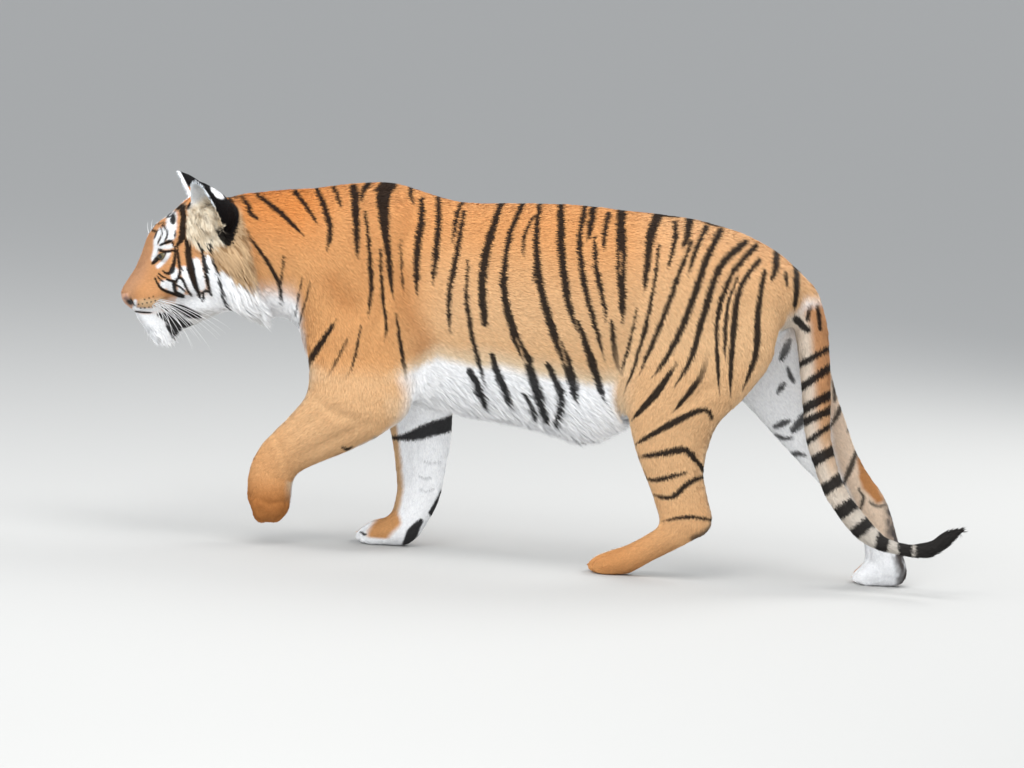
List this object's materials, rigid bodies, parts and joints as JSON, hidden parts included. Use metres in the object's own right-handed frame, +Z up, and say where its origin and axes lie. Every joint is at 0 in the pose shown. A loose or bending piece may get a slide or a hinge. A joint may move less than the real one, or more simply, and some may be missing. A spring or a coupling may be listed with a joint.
{
  "type": "tiger",
  "caption": "Life-size still model of a walking tiger with striped orange and white fur, head low and left forepaw lifted, standing on the other feet.",
  "frame": {"origin": "on the floor, under the centre of the whole model's box", "axes": "+Z up, nose towards -X, the animal's left flank towards -Y"},
  "size_m": [1.9678, 0.3428, 0.846],
  "materials": {
    "orange_coat": "short fur, orange with black stripes, white below",
    "pale_coat": "white and cream fur",
    "black_coat": "black fur",
    "nose_leather": "moist bare skin",
    "eye": "wet and glossy"
  },
  "bodies": {
    "root": {"head": "orange_coat", "lower_jaw": "pale_coat", "nose": "nose_leather", "eye_left": "eye", "eye_right": "eye", "ear_left": "black_coat", "ear_right": "black_coat", "neck": "orange_coat", "trunk": "orange_coat", "foreleg_left": "orange_coat", "forepaw_left": "orange_coat", "foreleg_right": "orange_coat", "forepaw_right": "orange_coat", "hindleg_left": "orange_coat", "hindpaw_left": "orange_coat", "hindleg_right": "orange_coat", "hindpaw_right": "orange_coat", "tail_base": "orange_coat", "tail_middle": "orange_coat", "tail_tip": "black_coat"}
  },
  "joints": []
}
